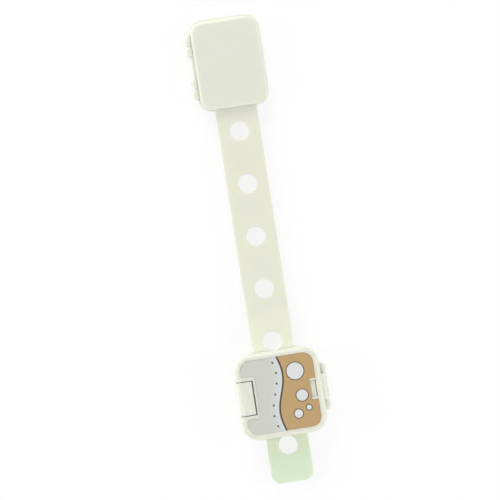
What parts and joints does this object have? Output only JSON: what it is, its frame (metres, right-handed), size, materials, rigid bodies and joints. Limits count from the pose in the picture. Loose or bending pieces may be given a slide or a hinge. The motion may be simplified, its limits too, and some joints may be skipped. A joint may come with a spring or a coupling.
{
  "type": "child safety strap lock",
  "caption": "Stick-on lock whose hinged lid and sprung button pin a perforated strap by one of its holes; the strap's other end is held in a stick-on anchor.",
  "frame": {"origin": "middle of the lock's adhesive face, on the axis of its peg", "axes": "+Z away from the furniture, +Y along the strap from the lock to the anchor, +X from the button to the hinge"},
  "size_m": [0.0433, 0.2216, 0.0102],
  "materials": {
    "strap_plastic": "soft satin",
    "housing_plastic": "satin",
    "base_plastic": "satin",
    "printed_panel": "printed satin film",
    "foam_tape": "closed-cell foam",
    "steel": "bright wire"
  },
  "bodies": {
    "mounted": {"lock_adhesive_foam": "foam_tape", "lock_base": "base_plastic", "hinge_pin": "steel", "button_spring": "steel", "strap": "strap_plastic", "anchor_adhesive_foam": "foam_tape", "anchor_base": "base_plastic", "anchor_cover": "housing_plastic"},
    "lid": {"lock_lid": "housing_plastic", "face_panel": "printed_panel"},
    "button": {"release_button": "base_plastic"}
  },
  "joints": [
    {"name": "lid_hinge", "type": "hinge", "parent": "mounted", "child": "lid", "pos_m": [0.0211, 0, 0.0032], "axis": [0, 1, 0], "range_deg": [0, 110]},
    {"name": "button_press", "type": "slide", "parent": "mounted", "child": "button", "axis": [1, 0, 0], "range_m": [0, 0.0005], "stiffness_N_per_m": 1500, "springref_m": -0.001, "deforming": ["button_spring"]}
  ]
}
